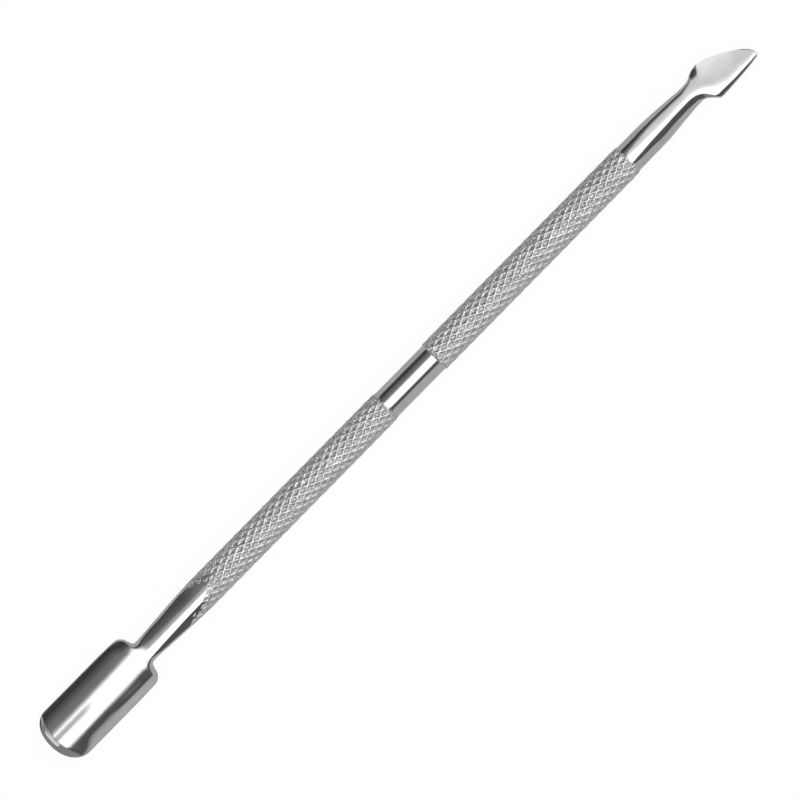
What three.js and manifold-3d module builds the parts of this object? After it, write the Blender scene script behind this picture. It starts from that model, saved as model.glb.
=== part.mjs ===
// A double-ended hand spudger: one steel bar, with a curved scoop blade at one end, a flat knife blade
// at the other, and two knurled grips with a plain turned band between them.
// Millimetres. +X runs from the scoop to the knife tip and +Z is up, out of the scoop's convex side.
// The origin is on the handle's axis, half-way along the tool.
import * as THREE from "three";
import { mergeVertices } from "three/addons/utils/BufferGeometryUtils.js";
import Module from "manifold-3d";

const wasm = await Module();
wasm.setup();

// ---- Driving dimensions ----------------------------------------------------------------------------

const LENGTH = 125;
const SCOOP_TIP_X = -LENGTH / 2;
const KNIFE_TIP_X = LENGTH / 2;

// Where one worked length of the bar gives way to the next.
const SCOOP_ROOT_X = -45.8;
const SCOOP_GRIP_START_X = -35.45;
const BAND_START_X = -2.35;
const BAND_END_X = 6.55;
const KNIFE_GRIP_END_X = 41.25;
const KNIFE_ROOT_X = 54;

const BAND_RADIUS = 2.04;
const BAND_SIDES = 56;

// Knurl: raised ridges cross as a net round diamond pits.
const KNURL_CREST_RADIUS = 2.2;
const KNURL_PIT_RADIUS = 2.05;
const KNURL_CELLS_ROUND = 14;
const KNURL_PITCH = 1.67;
const KNURL_CHAMFER_LENGTH = 0.3;

// Each neck station: distance along X, half width across Y, half thickness along Z.
const SCOOP_NECK = [
  { x: SCOOP_ROOT_X, halfWidth: 1.66, halfThickness: 1.15 },
  { x: -44.7, halfWidth: 1.63, halfThickness: 1.32 },
  { x: -42.6, halfWidth: 1.75, halfThickness: 1.6 },
  { x: -39.6, halfWidth: 1.97, halfThickness: 1.92 },
  { x: SCOOP_GRIP_START_X, halfWidth: 2.12, halfThickness: 2.1 },
];
const KNIFE_NECK = [
  { x: KNIFE_GRIP_END_X, halfWidth: 2.04, halfThickness: 2.04 },
  { x: 46.5, halfWidth: 1.99, halfThickness: 1.8 },
  { x: 49.6, halfWidth: 1.76, halfThickness: 1.45 },
  { x: 52.6, halfWidth: 1.53, halfThickness: 1.12 },
  { x: KNIFE_ROOT_X, halfWidth: 1.68, halfThickness: 0.98 },
];
const NECK_SIDES = 32;
const NECK_RINGS = 10;

// Scoop: a slice of a thin tube, convex side up, cut to its outline.
const SCOOP_HALF_WIDTH = 3.85;
const SCOOP_SIDE_SHIFT = -0.12;
const SCOOP_OUTER_RADIUS = 5.8;
const SCOOP_CREST_Z = 0.95;
const SCOOP_ROOT_THICKNESS = 0.95;
const SCOOP_TIP_THICKNESS = 0.5;
const SCOOP_TUBE_SIDES = 96;
const SCOOP_TIP_DEPTH = 2.8;
const SCOOP_TIP_SQUARENESS = 2.2;
const SCOOP_TIP_SKEW = 0.22;
const SCOOP_TIP_STEPS = 18;

// Each scoop shoulder, seen from above: the blade's side is straight until `length` short of the root,
// rounds over into a steep face, and the face sweeps into the neck.
const SCOOP_SHOULDER = {
  length: 2.4,
  sideInset: 0.06,
  faceSetback: 0.35,
  roundStartPull: 1.2,
  roundEndPull: { x: 0.5, y: 0.35 },
  roundEnd: { x: 0.3, y: 0.9 },
};

const TIP_GRIND = { width: 1.2, depth: 0.38 };

// Knife: a wedge, thick along its spine (-Y) and thin along its cutting edge (+Y), flat underneath.
const KNIFE_SPINE_Y = -2.95;
const KNIFE_EDGE_Y = 2.32;
const KNIFE_CREST = { y: -1.95, z: 0.72 };
const KNIFE_FACE_SLOPE = THREE.MathUtils.degToRad(10);
const KNIFE_SPINE_TOP_Z = 0.3;
const KNIFE_UNDERSIDE_Z = -0.5;
const KNIFE_TIP_THICKNESS_SHARE = 0.62;

// The knife seen from above: from the neck along the spine, round the tip, and back along the cutting
// edge. Each entry runs on to a point, in a curve pulled towards `via` where there is one.
const KNIFE_PLAN = [
  { x: KNIFE_ROOT_X + 1.25, y: KNIFE_SPINE_Y + 0.15 },
  { via: [KNIFE_ROOT_X + 1.45, KNIFE_SPINE_Y], x: KNIFE_ROOT_X + 1.75, y: KNIFE_SPINE_Y },
  { x: KNIFE_TIP_X - 0.4, y: KNIFE_SPINE_Y + 0.45 },
  { via: [KNIFE_TIP_X, KNIFE_SPINE_Y + 0.5], x: KNIFE_TIP_X, y: KNIFE_SPINE_Y + 1.05 },
  { via: [KNIFE_TIP_X - 0.15, -1.2], x: KNIFE_TIP_X - 0.9, y: -0.5 },
  { via: [KNIFE_TIP_X - 2.5, 0.8], x: KNIFE_TIP_X - 4.8, y: KNIFE_EDGE_Y - 0.4 },
  { via: [KNIFE_ROOT_X + 1.6, KNIFE_EDGE_Y + 0.4], x: KNIFE_ROOT_X, y: KNIFE_NECK.at(-1).halfWidth },
];

// A swelling carries each neck's end into its blade, and ends as a thin oval inside the blade.
const ROOT_SWELL_LENGTH = 3.2;
const SCOOP_SWELL_END = { y: SCOOP_SIDE_SHIFT, z: 0.47, halfWidth: 1, halfThickness: 0.32 };
const KNIFE_SWELL_END = { y: -0.4, z: 0, halfWidth: 1.2, halfThickness: 0.35 };

const CUT_MARGIN = 2;

// ---- Solids ----------------------------------------------------------------------------------------

// A closed geometry as a solid that can be joined and cut.
function solid(geometry) {
  const bare = geometry.clone();
  bare.deleteAttribute("normal");
  bare.deleteAttribute("uv");
  const merged = mergeVertices(bare);
  const mesh = new wasm.Mesh({
    numProp: 3,
    vertProperties: new Float32Array(merged.attributes.position.array),
    triVerts: new Uint32Array(merged.index.array),
  });
  return new wasm.Manifold(mesh);
}

function geometryOf(manifold) {
  const mesh = manifold.getMesh();
  const geometry = new THREE.BufferGeometry();
  geometry.setAttribute("position", new THREE.BufferAttribute(mesh.vertProperties, 3));
  geometry.setIndex(new THREE.BufferAttribute(mesh.triVerts, 1));
  return geometry;
}

// A bar length along X whose vertices are placed one by one. place() gets the fraction along the
// length, and the sine and cosine of the angle from +Y towards +Z, both 0 at a cap's centre.
function barLength(sides, rings, place) {
  const geometry = new THREE.CylinderGeometry(1, 1, 1, sides, rings);
  const position = geometry.attributes.position;
  for (let i = 0; i < position.count; i++) {
    const point = place(position.getY(i) + 0.5, position.getX(i), position.getZ(i));
    position.setXYZ(i, point.x, point.y, point.z);
  }
  return geometry;
}

// The half width and half thickness at x, on straight lines between the stations.
function sectionAt(stations, x) {
  const next = Math.max(1, stations.findIndex((station) => station.x >= x));
  const [a, b] = [stations[next - 1], stations[next]];
  const share = THREE.MathUtils.clamp((x - a.x) / (b.x - a.x), 0, 1);
  return {
    halfWidth: THREE.MathUtils.lerp(a.halfWidth, b.halfWidth, share),
    halfThickness: THREE.MathUtils.lerp(a.halfThickness, b.halfThickness, share),
  };
}

// An oval bar through the stations, capped flat at the first and the last.
function neck(stations) {
  const [start, end] = [stations[0].x, stations.at(-1).x];
  return barLength(NECK_SIDES, NECK_RINGS, (along, sine, cosine) => {
    const x = THREE.MathUtils.lerp(start, end, along);
    const section = sectionAt(stations, x);
    return { x, y: section.halfWidth * cosine, z: section.halfThickness * sine };
  });
}

function band() {
  return barLength(BAND_SIDES, 1, (along, sine, cosine) => ({
    x: THREE.MathUtils.lerp(BAND_START_X, BAND_END_X, along),
    y: BAND_RADIUS * cosine,
    z: BAND_RADIUS * sine,
  }));
}

// A knurled length: crests and pits alternate like a chessboard, and each cell is folded along the
// line that joins its two crests, so the ridges run on as two crossing sets of spirals.
function grip(start, end) {
  const columns = KNURL_CELLS_ROUND * 2;
  const rows = 2 * Math.round((end - start) / KNURL_PITCH);
  const chamferShare = KNURL_CHAMFER_LENGTH / (end - start);
  const isCrest = (row, column) => (row + column) % 2 === 0;

  const geometry = barLength(columns, rows, (along, sine, cosine) => {
    const row = Math.round(along * rows);
    const turn = Math.atan2(sine, cosine) / (2 * Math.PI);
    const column = Math.round((turn + 1) * columns);
    const atEnd = row === 0 || row === rows;
    const radius = isCrest(row, column) && !atEnd ? KNURL_CREST_RADIUS : KNURL_PIT_RADIUS;
    const inside = THREE.MathUtils.lerp(chamferShare, 1 - chamferShare, (row - 1) / (rows - 2));
    const x = THREE.MathUtils.lerp(start, end, atEnd ? along : inside);
    return { x, y: radius * cosine, z: radius * sine };
  });

  // The cells are listed column by column, each column from its far end (along = 1).
  for (let column = 0; column < columns; column++) {
    for (let step = 0; step < rows; step++) {
      if (!isCrest(rows - step, column)) continue;
      const a = step * (columns + 1) + column;
      const b = a + columns + 1;
      const corners = [a, b, b + 1, a, b + 1, a + 1];
      const first = corners.length * (column * rows + step);
      corners.forEach((vertex, i) => geometry.index.setX(first + i, vertex));
    }
  }
  return geometry;
}

// An upright prism from a plan outline.
function uprightPrism(shape, low, high) {
  const options = { depth: high - low, bevelEnabled: false };
  return solid(new THREE.ExtrudeGeometry(shape, options).translate(0, 0, low));
}

// From a neck's end section to the thin oval, a swell's length away along direction (+1 or -1).
function rootSwell(station, direction, thinOval) {
  const neckEnd = { ...station, y: 0, z: 0 };
  const bladeEnd = { ...thinOval, x: station.x + direction * ROOT_SWELL_LENGTH };
  const [low, high] = direction > 0 ? [neckEnd, bladeEnd] : [bladeEnd, neckEnd];
  const geometry = barLength(NECK_SIDES, 1, (along, sine, cosine) => {
    const end = along < 0.5 ? low : high;
    return { x: end.x, y: end.y + end.halfWidth * cosine, z: end.z + end.halfThickness * sine };
  });
  return solid(geometry);
}

// ---- Scoop -----------------------------------------------------------------------------------------

// Points of the rounded tip from the -Y side to the +Y side: a squarish half ellipse, leaning a little.
function scoopTipPoints() {
  const points = [];
  for (let i = 0; i <= SCOOP_TIP_STEPS; i++) {
    const angle = Math.PI * (i / SCOOP_TIP_STEPS - 0.5);
    const power = 2 / SCOOP_TIP_SQUARENESS;
    const towardsTip = Math.cos(angle) ** power;
    const across = Math.sign(angle) * Math.abs(Math.sin(angle)) ** power;
    const x = SCOOP_TIP_X + SCOOP_TIP_DEPTH * (1 - towardsTip);
    const lean = SCOOP_TIP_SKEW * towardsTip;
    points.push(new THREE.Vector2(x, SCOOP_SIDE_SHIFT + lean + SCOOP_HALF_WIDTH * across));
  }
  return points;
}

// The blade seen from above, with a rounded shoulder each side of the neck.
function scoopOutline() {
  const { length, sideInset, faceSetback, roundStartPull, roundEndPull, roundEnd } = SCOOP_SHOULDER;
  const neckHalf = SCOOP_NECK[0].halfWidth;
  const startX = SCOOP_ROOT_X - length;
  const pullX = startX + roundStartPull;
  const faceX = SCOOP_ROOT_X - faceSetback;
  const endPullX = faceX - roundEndPull.x;
  const endX = faceX - roundEnd.x;
  const highY = SCOOP_SIDE_SHIFT + SCOOP_HALF_WIDTH - sideInset;
  const lowY = SCOOP_SIDE_SHIFT - SCOOP_HALF_WIDTH + sideInset;

  const shape = new THREE.Shape(scoopTipPoints());
  shape.lineTo(startX, highY);
  shape.bezierCurveTo(pullX, highY, endPullX, highY - roundEndPull.y, endX, highY - roundEnd.y);
  shape.quadraticCurveTo(faceX, neckHalf, SCOOP_ROOT_X, neckHalf);
  shape.lineTo(SCOOP_ROOT_X, -neckHalf);
  shape.quadraticCurveTo(faceX, -neckHalf, endX, lowY + roundEnd.y);
  shape.bezierCurveTo(endPullX, lowY + roundEndPull.y, pullX, lowY, startX, lowY);
  return shape;
}

// The outside of the tube slice less its tapering bore.
function scoopSheet() {
  const length = SCOOP_ROOT_X - SCOOP_TIP_X + 2 * CUT_MARGIN;
  const centreX = (SCOOP_ROOT_X + SCOOP_TIP_X) / 2;
  const axisZ = SCOOP_CREST_Z - SCOOP_OUTER_RADIUS;
  const place = (geometry) =>
    solid(geometry.rotateZ(-Math.PI / 2).translate(centreX, SCOOP_SIDE_SHIFT, axisZ));
  const outside = new THREE.CylinderGeometry(
    SCOOP_OUTER_RADIUS, SCOOP_OUTER_RADIUS, length, SCOOP_TUBE_SIDES);
  const bore = new THREE.CylinderGeometry(
    SCOOP_OUTER_RADIUS - SCOOP_ROOT_THICKNESS,
    SCOOP_OUTER_RADIUS - SCOOP_TIP_THICKNESS,
    length + 2 * CUT_MARGIN,
    SCOOP_TUBE_SIDES,
  );
  return place(outside).subtract(place(bore));
}

// What the grinding of the tip leaves: the tip's outline, narrowing towards the top, and long enough
// behind to leave the rest of the blade alone.
function tipGrind() {
  const shape = new THREE.Shape(scoopTipPoints());
  shape.lineTo(SCOOP_ROOT_X + 2 * CUT_MARGIN, SCOOP_SIDE_SHIFT + SCOOP_HALF_WIDTH);
  shape.lineTo(SCOOP_ROOT_X + 2 * CUT_MARGIN, SCOOP_SIDE_SHIFT - SCOOP_HALF_WIDTH);
  const depth = 2 * SCOOP_OUTER_RADIUS;
  const geometry = new THREE.ExtrudeGeometry(shape, {
    depth,
    bevelThickness: TIP_GRIND.depth,
    bevelSize: TIP_GRIND.width,
    bevelOffset: -TIP_GRIND.width,
    bevelSegments: 1,
  });
  return solid(geometry.translate(0, 0, SCOOP_CREST_Z - TIP_GRIND.depth - depth));
}

function scoopBlade() {
  const plan = uprightPrism(scoopOutline(), -SCOOP_OUTER_RADIUS / 2, SCOOP_CREST_Z + CUT_MARGIN);
  const sheet = scoopSheet().intersect(plan).intersect(tipGrind());
  return geometryOf(sheet.add(rootSwell(SCOOP_NECK[0], -1, SCOOP_SWELL_END)));
}

// ---- Knife -----------------------------------------------------------------------------------------

// The blade seen from above: a shoulder on the cutting-edge side, a long convex cutting edge, a round
// tip, a straight spine, and a sharper shoulder where the spine starts.
function knifeOutline() {
  const shape = new THREE.Shape();
  shape.moveTo(KNIFE_ROOT_X, -KNIFE_NECK.at(-1).halfWidth);
  for (const { via, x, y } of KNIFE_PLAN) {
    if (via) {
      shape.quadraticCurveTo(...via, x, y);
    } else {
      shape.lineTo(x, y);
    }
  }
  return shape;
}

// The wedge across the blade. The spine's top is worn down outside the crest.
function knifeSection() {
  const edgeTopZ = KNIFE_CREST.z - Math.tan(KNIFE_FACE_SLOPE) * (KNIFE_EDGE_Y - KNIFE_CREST.y);
  const shape = new THREE.Shape();
  shape.moveTo(KNIFE_SPINE_Y, KNIFE_UNDERSIDE_Z);
  shape.lineTo(KNIFE_EDGE_Y, KNIFE_UNDERSIDE_Z);
  shape.lineTo(KNIFE_EDGE_Y, edgeTopZ);
  shape.lineTo(KNIFE_CREST.y, KNIFE_CREST.z);
  shape.lineTo(KNIFE_SPINE_Y, KNIFE_SPINE_TOP_Z);
  return shape;
}

// The section carried along X, thinning towards the tip with its underside kept level.
function knifeWedge() {
  const length = KNIFE_TIP_X - KNIFE_ROOT_X;
  const geometry = new THREE.ExtrudeGeometry(knifeSection(), { depth: length, bevelEnabled: false });
  const drawnToFrame = new THREE.Matrix4().set(0, 0, 1, KNIFE_ROOT_X, 1, 0, 0, 0, 0, 1, 0, 0, 0, 0, 0, 1);
  geometry.applyMatrix4(drawnToFrame);
  const position = geometry.attributes.position;
  for (let i = 0; i < position.count; i++) {
    const along = (position.getX(i) - KNIFE_ROOT_X) / length;
    const share = THREE.MathUtils.lerp(1, KNIFE_TIP_THICKNESS_SHARE, along);
    position.setZ(i, KNIFE_UNDERSIDE_Z + share * (position.getZ(i) - KNIFE_UNDERSIDE_Z));
  }
  return solid(geometry);
}

function knifeBlade() {
  const plan = uprightPrism(knifeOutline(), -CUT_MARGIN, CUT_MARGIN);
  return geometryOf(knifeWedge().intersect(plan).add(rootSwell(KNIFE_NECK.at(-1), 1, KNIFE_SWELL_END)));
}

// ---- The tool --------------------------------------------------------------------------------------

const FINISHES = {
  ground: { color: 0xc9cbcc, roughness: 0.22, metalness: 1 },
  turned: { color: 0xc6c8ca, roughness: 0.16, metalness: 1 },
  knurled: { color: 0xbdbfc1, roughness: 0.3, metalness: 1 },
};

function piece(name, geometry, finish) {
  const mesh = new THREE.Mesh(geometry, new THREE.MeshStandardMaterial(FINISHES[finish]));
  mesh.name = name;
  return mesh;
}

const spudger = new THREE.Group();
spudger.add(
  piece("scoop_blade", scoopBlade(), "ground"),
  piece("scoop_neck", neck(SCOOP_NECK), "ground"),
  piece("scoop_side_grip", grip(SCOOP_GRIP_START_X, BAND_START_X), "knurled"),
  piece("centre_band", band(), "turned"),
  piece("knife_side_grip", grip(BAND_END_X, KNIFE_GRIP_END_X), "knurled"),
  piece("knife_neck", neck(KNIFE_NECK), "ground"),
  piece("knife_blade", knifeBlade(), "ground"),
);

export default spudger;
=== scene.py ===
"""The finished look of a double-ended steel spudger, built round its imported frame.

Shapes are worked out in millimetres in the tool's own frame: +X runs from the scoop to the knife tip,
+Z is up, out of the scoop's convex side, and the handle's axis lies along X. Blender objects are in metres.
The tool is one bar, and each piece is one worked length of it.
"""

import math

import bmesh
import bpy
import numpy as np
from mathutils import Matrix, Vector


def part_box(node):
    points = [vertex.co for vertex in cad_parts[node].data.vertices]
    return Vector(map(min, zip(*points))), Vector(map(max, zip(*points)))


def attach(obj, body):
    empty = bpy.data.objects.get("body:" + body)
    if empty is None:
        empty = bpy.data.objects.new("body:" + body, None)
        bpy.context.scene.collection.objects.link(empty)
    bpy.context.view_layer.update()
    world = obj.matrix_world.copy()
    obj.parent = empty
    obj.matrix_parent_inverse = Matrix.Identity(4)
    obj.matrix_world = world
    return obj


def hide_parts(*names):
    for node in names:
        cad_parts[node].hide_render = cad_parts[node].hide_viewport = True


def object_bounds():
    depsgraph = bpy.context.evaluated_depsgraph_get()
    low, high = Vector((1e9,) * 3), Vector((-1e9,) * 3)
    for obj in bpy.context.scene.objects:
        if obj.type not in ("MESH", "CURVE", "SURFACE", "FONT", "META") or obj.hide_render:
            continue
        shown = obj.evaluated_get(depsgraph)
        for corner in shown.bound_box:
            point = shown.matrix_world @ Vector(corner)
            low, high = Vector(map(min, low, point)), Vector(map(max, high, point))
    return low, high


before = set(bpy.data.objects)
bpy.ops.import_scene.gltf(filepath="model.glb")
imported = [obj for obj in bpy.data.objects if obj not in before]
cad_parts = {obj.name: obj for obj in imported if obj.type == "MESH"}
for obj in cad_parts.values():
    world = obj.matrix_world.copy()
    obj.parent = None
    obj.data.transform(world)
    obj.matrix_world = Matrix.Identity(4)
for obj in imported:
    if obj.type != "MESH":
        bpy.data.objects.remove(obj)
cad_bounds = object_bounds()

MM = 0.001


# ---- Sizes from the frame ------------------------------------------------------------------------

def node_corners(node):
    low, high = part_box(node)
    return np.array(low) / MM, np.array(high) / MM


SCOOP_LOW, SCOOP_HIGH = node_corners("scoop_blade")
SCOOP_GRIP_LOW, SCOOP_GRIP_HIGH = node_corners("scoop_side_grip")
BAND_LOW, BAND_HIGH = node_corners("centre_band")
KNIFE_GRIP_LOW, KNIFE_GRIP_HIGH = node_corners("knife_side_grip")
KNIFE_LOW, KNIFE_HIGH = node_corners("knife_blade")

SCOOP_TIP_X, SCOOP_ROOT_X = SCOOP_LOW[0], SCOOP_HIGH[0]
SCOOP_GRIP_START_X, SCOOP_GRIP_END_X = SCOOP_GRIP_LOW[0], SCOOP_GRIP_HIGH[0]
KNIFE_GRIP_START_X, KNIFE_GRIP_END_X = KNIFE_GRIP_LOW[0], KNIFE_GRIP_HIGH[0]
KNIFE_ROOT_X, KNIFE_TIP_X = KNIFE_LOW[0], KNIFE_HIGH[0]
BAND_RADIUS = BAND_HIGH[2]
CREST_RADIUS = KNIFE_GRIP_HIGH[2]

# ---- Knurl ---------------------------------------------------------------------------------------

KNURL_CELLS_ROUND = 14
KNURL_PITCH = 1.67
KNURL_DEPTH = 0.18
PIT_EDGES = 0.03, 0.33            # shares of the distance between two neighbouring ridges
PIT_SOFTNESS = 0.1
RIDGE_SWAY = 0.035                # cells by which ridges wander
SLOW_WEAR, QUICK_WEAR = 0.16, 0.12
STEPS_PER_CELL = 12
RUN_OUT_SLOPE = 0.5               # how steeply the knurl may rise from the band's lip
KNURLED_FROM = -0.01, 0.02        # depths of a pit under a ground surface over which it turns knurled

BAND_FLARES = 0.5, 0.12           # lengths on the scoop's side and on the knife's
BAND_LIP = 0.09
BAND_LIP_ROUND_SHARE = 0.3        # the rest of the scoop-side flare follows the knurl's ridges
NECK_FLARE, NECK_FLARE_LENGTH = 0.12, 0.5
SCOOP_RUN_OUT = -3.6, -2.6        # from the grip's start: where the knurl sets in over the scoop's neck
KNIFE_RUN_OUT = 0.1, 0.5          # from the grip's end: where it dies away over the knife's neck

# ---- Both ends -----------------------------------------------------------------------------------

END_COLUMNS = 240
SEAM_STEP = 0.005                 # a ring this near each seam keeps the shading even across it
TOUCHING = 2e-8                   # metres
SHAVE_SOFTNESS = 0.05
FLAT_SOFTNESS = 0.1               # rounding where one ground flat meets the next
OVAL_POWER = 2

# ---- Scoop end -----------------------------------------------------------------------------------
# A table is a list of (distance along X from the blade's root, value). A fade is the two distances
# from the root between which something sets in or dies away.

SCOOP_SIDE_SHIFT = (SCOOP_LOW[1] + SCOOP_HIGH[1]) / 2
SCOOP_TIP_DEPTH = 2.8
SCOOP_TIP_SQUARENESS = 2.2
SCOOP_TIP_LEAN = 0.22
SCOOP_TIP_RINGS = 43
SCOOP_TIP_FIRST_TURN = 0.03       # radians round the tip's curve, so that the first ring has some width
SCOOP_UNDER_GRIP = 3.5            # how far the ground neck goes on under the knurl
SCOOP_SHIFT_FADE = -2, 1
SCOOP_BLADE_FADE = -1.8, 0.8
SCOOP_HALF_WIDTHS = [
    (-16.7, 3.86), (-5, 3.85), (-3.4, 3.82), (-1.9, 3.77), (-1.4, 3.66), (-1.1, 3.45), (-0.82, 3.16),
    (-0.6, 2.74), (-0.46, 2.3), (-0.3, 1.9), (-0.13, 1.71), (0.15, 1.66), (0.62, 1.65), (1.2, 1.67),
    (3.2, 1.8), (6.2, 2), (10.35, 2.19), (14, 2.4),
]
SCOOP_CROWN_RADIUS = 5.55
SCOOP_CROWN_FADE = -1.8, 1.3
SCOOP_HOLLOW_RADIUS = 6.6
SCOOP_CREST = [
    (-16.7, 0.86), (-10, 0.93), (-3, 0.98), (-1.2, 1.01), (0, 1.1), (1.8, 1.31), (3.8, 1.5), (5.8, 1.65),
    (7.8, 1.79), (9.8, 1.94), (11.6, 2.11), (14, 2.38),
]
SCOOP_THICKNESS = [(-16.7, 0.64), (-8, 0.7), (-3, 0.9), (-1, 1.3), (0, 2.3), (2, 4.5), (14, 8)]
SCOOP_TWIST_DEGREES = [(-16.7, -0.6), (-10, 0.2), (-7, 0.9), (-4, 1.5), (-1.5, 2.5), (0, 0)]
SCOOP_NECK_HALF_THICKNESS = [
    (-3, 1), (0, 1.25), (1.8, 1.48), (3.8, 1.64), (5.8, 1.8), (7.8, 1.95), (9.8, 2.1), (14, 2.4),
]
SCOOP_NECK_ROLL_DEGREES = [(-1, -9), (1, -11), (5, -11), (10, -3), (12, 0)]
SCOOP_EDGE_ROUND = [(-16.7, 0.1), (-3, 0.12), (-1.6, 0.2), (-0.8, 0.4), (-0.3, 0.9), (0.4, 1.62)]
NECK_SQUARENESS = 0.4                                                 # over an oval's power
NECK_SQUARENESS_RISE, NECK_SQUARENESS_FALL = 2, 3                     # lengths at the root and the grip

TIP_BEVELS = [                                                        # width from the outline, slope
    (1.12, math.radians(12.5)),
    (0.62, math.radians(16.5)),
    (0.47, math.radians(27)),
]
TIP_BEVEL_SOFTNESS = 0.06
TIP_BEVEL_FADE = 0.9, 2                                               # from the tip along X

# Hand grinding leaves the blade a little uneven: a ripple along its top, a kink before its low rim, and a
# low corner that is lifted at the tip.
RIPPLE_DEPTH = 0.175
RIPPLE_EDGES = -0.85, 0.6
RIPPLE_FADE = -11, -6
RIM_KINK = 0.16
RIM_KINK_STARTS = [(-2.22, 0.25, 1), (-2.87, 0.05, -1)]               # y, softness, sign
RIM_FADE_IN, RIM_FADE_OUT = (-9, -5), (-1.6, -0.4)
CORNER_LIFTS = [(-2.3, 0.13), (-3, 0.16)]                             # y, slope
CORNER_SOFTNESS = 0.2
CORNER_FADE = -14.6, -11.6

SHOULDER_BEVELS = {                                                   # width by distance from the root
    "high": [(-2.2, 0), (-1.6, 0.16), (-0.6, 0.2), (0, 0)],
    "low": [(-2.4, 0), (-1.7, 0.3), (-1.1, 0.55), (-0.4, 0.3), (0, 0)],
}
SHOULDER_BEVEL_SLOPE = math.radians(46)

# Flats ground along the scoop's neck. Each starts at its line, which gives a Y for each distance along X,
# and adds its slope to the flat before it.
NECK_EASY_START = [(-1, -0.1), (0.5, -0.22), (12, -0.22)]
NECK_STEEP_START = [
    (-3.2, 2), (-0.9, 1.9), (-0.5, 1.7), (-0.1, 1.25), (0.4, 0.85), (1, 0.65), (2, 0.53), (12, 0.47),
]
NECK_LOW_START = [
    (-3, -1.6), (-1, -1.45), (0, -1.17), (1.8, -1.02), (3.8, -0.93), (5.8, -0.86), (7.8, -0.8),
]
NECK_EASY_SLOPE = math.tan(math.radians(12))
NECK_EASY_FADE = -1, 1
NECK_STEEP_SLOPE = 0.29
NECK_STEEP_FADE = -3, -0.5
NECK_OUTER_START = 1
NECK_OUTER_SLOPE = 0.12
NECK_OUTER_SOFTNESS = 0.2
NECK_LOW_SLOPE = math.tan(math.radians(24.5))
NECK_LOW_FADE = -1.3, 0.1
NECK_FLATS_LOSS = 0.5                                                 # share of the slopes lost by the grip
NECK_FLATS_LOSS_FADE = -2.5, 1                                        # from the grip's start

# ---- Knife end -----------------------------------------------------------------------------------

KNIFE_EDGE_SIDE = [
    (-14, 2.04), (-9.5, 2.04), (-7.4, 1.985), (-5.4, 1.86), (-3.4, 1.7), (-1.4, 1.55), (-0.6, 1.58),
    (-0.1, 1.69), (0.4, 1.95), (1.2, 2.22), (1.9, 2.31), (2.7, 2.22), (3.7, 1.88), (5.2, 1.13),
    (6.2, 0.51), (7.25, -0.23), (8, -0.93), (8.5, -1.5),
]
KNIFE_SPINE_SIDE = [
    (-14, -2.04), (-9.5, -2), (-7.4, -1.98), (-5.4, -1.83), (-3.4, -1.65), (-1.4, -1.51), (-0.6, -1.5),
    (-0.1, -1.61), (0.4, -1.97), (0.92, -2.48), (1.2, -2.78), (1.42, -2.91), (1.7, -2.95), (4.2, -2.84),
    (6.2, -2.71), (7.7, -2.54), (8.5, -2.42),
]
KNIFE_TIP_Y = -1.97
KNIFE_TIP_ROUND = 0.3
KNIFE_TIP_RINGS = 16
KNIFE_TIP_FIRST_TURN = 0.05
KNIFE_UNDER_GRIP = 1
KNIFE_BLADE_FADE = -1, 2
KNIFE_CREST = [
    (-14, 2.1), (-12, 2), (-10.5, 1.92), (-8, 1.72), (-4, 1.32), (-1.4, 1.04), (0, 0.93), (1.5, 0.84),
    (3, 0.78), (8.5, 0.45),
]
KNIFE_NECK_HALF_THICKNESS = [
    (-14, 2.04), (-12, 2.04), (-8, 1.85), (-4, 1.45), (-1.4, 1.2), (0, 1.2), (3, 1.1),
]
KNIFE_NECK_LOW_EXTRA = 0.1
KNIFE_NECK_LOW_SIDE = -0.4, 0.6                                       # across the spine's side
KNIFE_NECK_ROLL_DEGREES = [(-12.5, 0), (-8, 8), (-4, 12), (-1, 10), (2, 0)]
KNIFE_NECK_ROLL_SOFTNESS = 0.4
KNIFE_FLOOR = [(-14, -4), (-6, -2.6), (-2, -1.5), (0, -0.95), (1.6, -0.6), (3, -0.5), (8.5, -0.44)]
KNIFE_EDGE_ROUND = [(-0.6, 1.5), (0, 1.3), (0.5, 0.9), (1.1, 0.5), (1.8, 0.12), (2.6, 0.06), (8.5, 0.05)]
KNIFE_SPINE_ROUND = [(-1.2, 1.5), (-0.6, 0.7), (0, 0.28), (0.6, 0.12), (1.5, 0.16), (2, 0.14), (8.5, 0.12)]
KNIFE_ROUND_SIDES = -0.5, 0.5     # Y between which the spine's rounding gives way to the edge's
KNIFE_NECK_ROUND_FADE = -1.2, -0.4

# The knife's ground flats, given in the same way.
KNIFE_FACE_START = [
    (-13, 0.2), (-8, 0.05), (-4, 0.02), (-1.4, 0), (-0.6, -0.1), (0, -0.25), (0.5, -0.5), (1, -0.8),
    (1.5, -1.15), (2, -1.45), (3, -1.8), (4, -1.95), (6, -2.05), (7, -2.15), (8.5, -2.25),
]
KNIFE_SHOULDER_START = [(0, 1.75), (0.4, 1.45), (1, 1.42), (1.4, 1.68), (1.8, 2.2), (2.2, 3), (8.5, 4)]
KNIFE_SPINE_START = [
    (-13, -0.7), (-11, -0.5), (-8, -0.36), (-6, -0.3), (-4, -0.22), (-2, -0.22), (-1, -0.35),
    (-0.5, -0.55), (0, -0.88), (0.5, -1.52), (1, -2.15), (1.5, -2.3), (2, -2.3), (3, -2.32), (4, -2.34),
    (6, -2.27), (8.5, -2.12),
]
KNIFE_FACE_SLOPE = math.radians(10.5)
KNIFE_FACE_SHIFT = 0.3            # in the blade the face starts this much nearer the spine, and more softly
KNIFE_FACE_SOFTNESS = 0.16, 0.5   # in the neck and in the blade
KNIFE_SHOULDER_SLOPE = math.radians(34)
KNIFE_SHOULDER_FADE = 0, 0.4
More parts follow.
